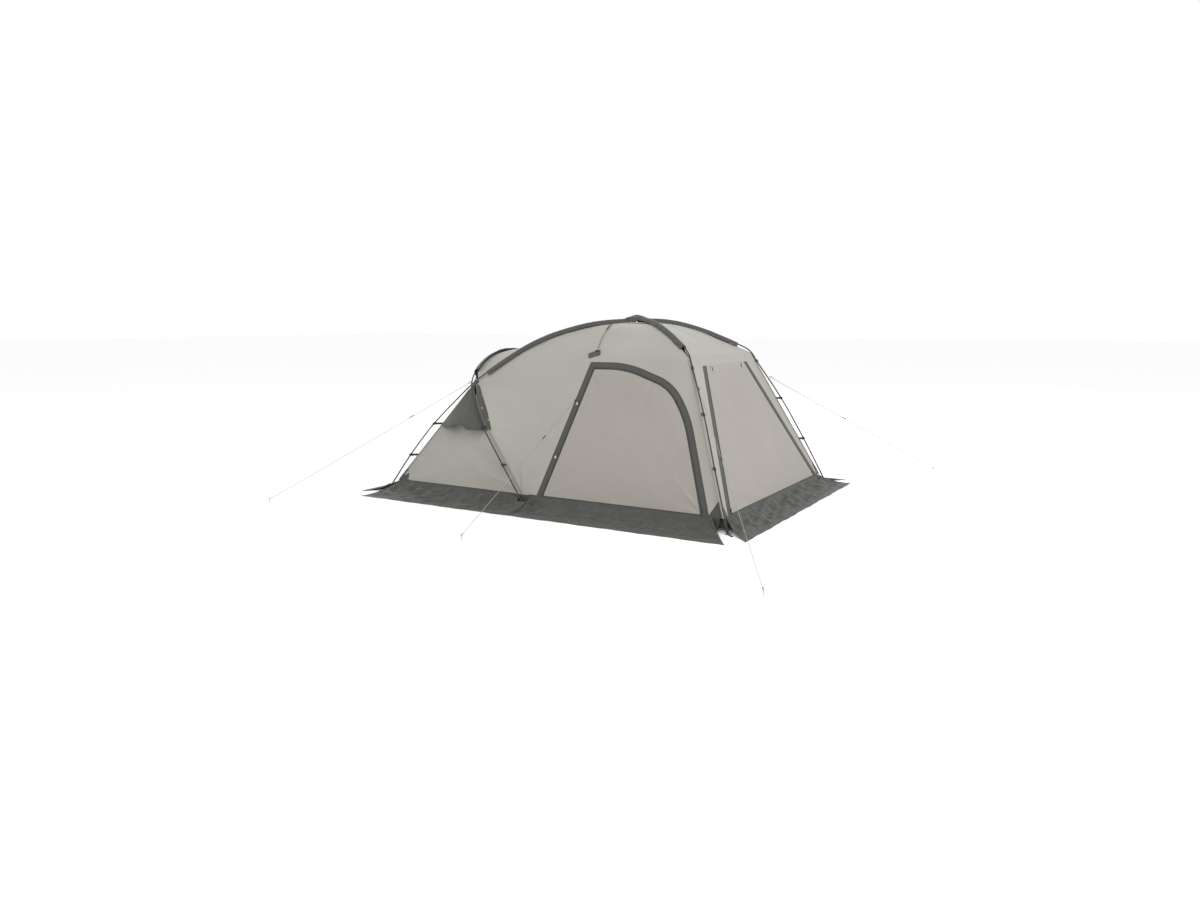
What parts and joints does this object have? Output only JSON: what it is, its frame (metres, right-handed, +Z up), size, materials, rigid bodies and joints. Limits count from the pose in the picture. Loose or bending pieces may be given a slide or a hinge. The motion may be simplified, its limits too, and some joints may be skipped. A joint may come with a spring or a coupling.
{
  "type": "frame tent",
  "caption": "Frame tent on two crossing poles and a front hoop, with swing-out doors, hooded vents, ground skirts and staked guy lines.",
  "frame": {"origin": "centre of the tent's footprint, on the ground", "axes": "+X towards the rear end wall, -Y towards the near side wall, +Z up"},
  "size_m": [4.364, 4.695, 1.5079],
  "materials": {
    "shell_fabric": "matt coated polyester taffeta",
    "trim_fabric": "matt polyester",
    "skirt_fabric": "matt coated polyester",
    "mesh_fabric": "open knit mesh",
    "pole_alloy": "dark anodised",
    "spigot_alloy": "bare satin",
    "shock_cord": "braided elastic",
    "dark_plastic": "moulded",
    "webbing": "woven webbing",
    "cord_white": "braided cord",
    "peg_alloy": "satin",
    "zip_coil": "coil zip",
    "slider_metal": "dark lacquer"
  },
  "bodies": {
    "tent": {"apex_strap": "trim_fabric", "clip_webbing": "webbing", "corner_straps": "webbing", "door_toggles": "cord_white", "door_zips": "zip_coil", "front_band": "trim_fabric", "front_wall": "shell_fabric", "ground_pegs": "peg_alloy", "guy_loops": "cord_white", "guyline_cross_far": "cord_white", "guyline_cross_near": "cord_white", "guyline_leg_far": "cord_white", "guyline_leg_near": "cord_white", "guyline_wall_far": "cord_white", "guyline_wall_near": "cord_white", "hoop_pole": "pole_alloy", "main_pole_a": "pole_alloy", "main_pole_b": "pole_alloy", "pole_clips": "dark_plastic", "pole_ferrules": "spigot_alloy", "pole_tips": "dark_plastic", "rear_band": "trim_fabric", "rear_wall": "shell_fabric", "roof_front": "shell_fabric", "shock_cords": "shock_cord", "side_band_far": "trim_fabric", "side_band_near": "trim_fabric", "side_wall_far": "shell_fabric", "side_wall_near": "shell_fabric", "skirt_far": "skirt_fabric", "skirt_front": "skirt_fabric", "skirt_near": "skirt_fabric", "skirt_rear": "skirt_fabric", "sleeve_a": "trim_fabric", "sleeve_b": "trim_fabric", "sleeve_hoop": "trim_fabric", "vent_gusset_far": "shell_fabric", "vent_gusset_near": "shell_fabric", "vent_hood_far": "trim_fabric", "vent_hood_near": "trim_fabric", "vent_mesh_far": "mesh_fabric", "vent_mesh_near": "mesh_fabric", "wall_lifter_far": "cord_white", "wall_lifter_near": "cord_white"},
    "door_far_body": {"door_far": "shell_fabric"},
    "door_front_body": {"door_front": "shell_fabric"},
    "door_near_body": {"door_near": "shell_fabric"},
    "door_rear_body": {"door_rear": "shell_fabric"},
    "slider_far_body": {"slider_far": "slider_metal"},
    "slider_near_body": {"slider_near": "slider_metal"},
    "slider_rear_far_body": {"slider_rear_far": "slider_metal"},
    "slider_rear_near_body": {"slider_rear_near": "slider_metal"},
    "tensioner_cross_far_body": {"tensioner_cross_far": "dark_plastic"},
    "tensioner_cross_near_body": {"tensioner_cross_near": "dark_plastic"},
    "tensioner_leg_far_body": {"tensioner_leg_far": "dark_plastic"},
    "tensioner_leg_near_body": {"tensioner_leg_near": "dark_plastic"},
    "tensioner_wall_far_body": {"tensioner_wall_far": "dark_plastic"},
    "tensioner_wall_near_body": {"tensioner_wall_near": "dark_plastic"},
    "vent_strut_far_body": {"vent_strut_far": "dark_plastic"},
    "vent_strut_near_body": {"vent_strut_near": "dark_plastic"}
  },
  "joints": [
    {"name": "door_near_swing", "type": "hinge", "parent": "tent", "child": "door_near_body", "pos_m": [-0.00055, -1.09504, 0.08444], "axis": [-0.2062, -0.3808, -0.9014], "range_deg": [0, 75]},
    {"name": "door_far_swing", "type": "hinge", "parent": "tent", "child": "door_far_body", "pos_m": [-0.00055, 1.09504, 0.08444], "axis": [0.2062, -0.3808, 0.9014], "range_deg": [0, 75]},
    {"name": "door_rear_swing", "type": "hinge", "parent": "tent", "child": "door_rear_body", "pos_m": [1.09366, 0, 1.06678], "axis": [0, -1, 0], "range_deg": [0, 100]},
    {"name": "door_front_swing", "type": "hinge", "parent": "tent", "child": "door_front_body", "pos_m": [-1.2095, 0, 0.9593], "axis": [0, 1, 0], "range_deg": [0, 100]},
    {"name": "vent_strut_near_fold", "type": "hinge", "parent": "tent", "child": "vent_strut_near_body", "pos_m": [-0.90364, -0.91766, 0.622], "axis": [1, 0, 0], "range_deg": [0, 60]},
    {"name": "vent_strut_far_fold", "type": "hinge", "parent": "tent", "child": "vent_strut_far_body", "pos_m": [-0.90364, 0.91766, 0.622], "axis": [-1, 0, 0], "range_deg": [0, 60]},
    {"name": "zip_near_run", "type": "slide", "parent": "tent", "child": "slider_near_body", "axis": [-0.3625, 0.3627, 0.8585], "range_m": [0, 0.55]},
    {"name": "zip_far_run", "type": "slide", "parent": "tent", "child": "slider_far_body", "axis": [-0.3625, -0.3627, 0.8585], "range_m": [0, 0.55]},
    {"name": "zip_rear_near_run", "type": "slide", "parent": "tent", "child": "slider_rear_near_body", "axis": [-0.3721, 0.4444, 0.8149], "range_m": [0, 0.6]},
    {"name": "zip_rear_far_run", "type": "slide", "parent": "tent", "child": "slider_rear_far_body", "axis": [-0.3721, -0.4444, 0.8149], "range_m": [0, 0.6]},
    {"name": "tensioner_cross_near_run", "type": "slide", "parent": "tent", "child": "tensioner_cross_near_body", "axis": [-0.5691, -0.6667, -0.4813], "range_m": [-0.3, 0.6]},
    {"name": "tensioner_cross_far_run", "type": "slide", "parent": "tent", "child": "tensioner_cross_far_body", "axis": [-0.5691, 0.6667, -0.4813], "range_m": [-0.3, 0.6]},
    {"name": "tensioner_wall_near_run", "type": "slide", "parent": "tent", "child": "tensioner_wall_near_body", "axis": [-0.0097, -0.8694, -0.494], "range_m": [-0.3, 0.6]},
    {"name": "tensioner_wall_far_run", "type": "slide", "parent": "tent", "child": "tensioner_wall_far_body", "axis": [-0.0097, 0.8694, -0.494], "range_m": [-0.3, 0.6]},
    {"name": "tensioner_leg_near_run", "type": "slide", "parent": "tent", "child": "tensioner_leg_near_body", "axis": [0.5198, -0.7341, -0.437], "range_m": [-0.3, 0.6]},
    {"name": "tensioner_leg_far_run", "type": "slide", "parent": "tent", "child": "tensioner_leg_far_body", "axis": [0.5198, 0.7341, -0.437], "range_m": [-0.3, 0.6]}
  ]
}
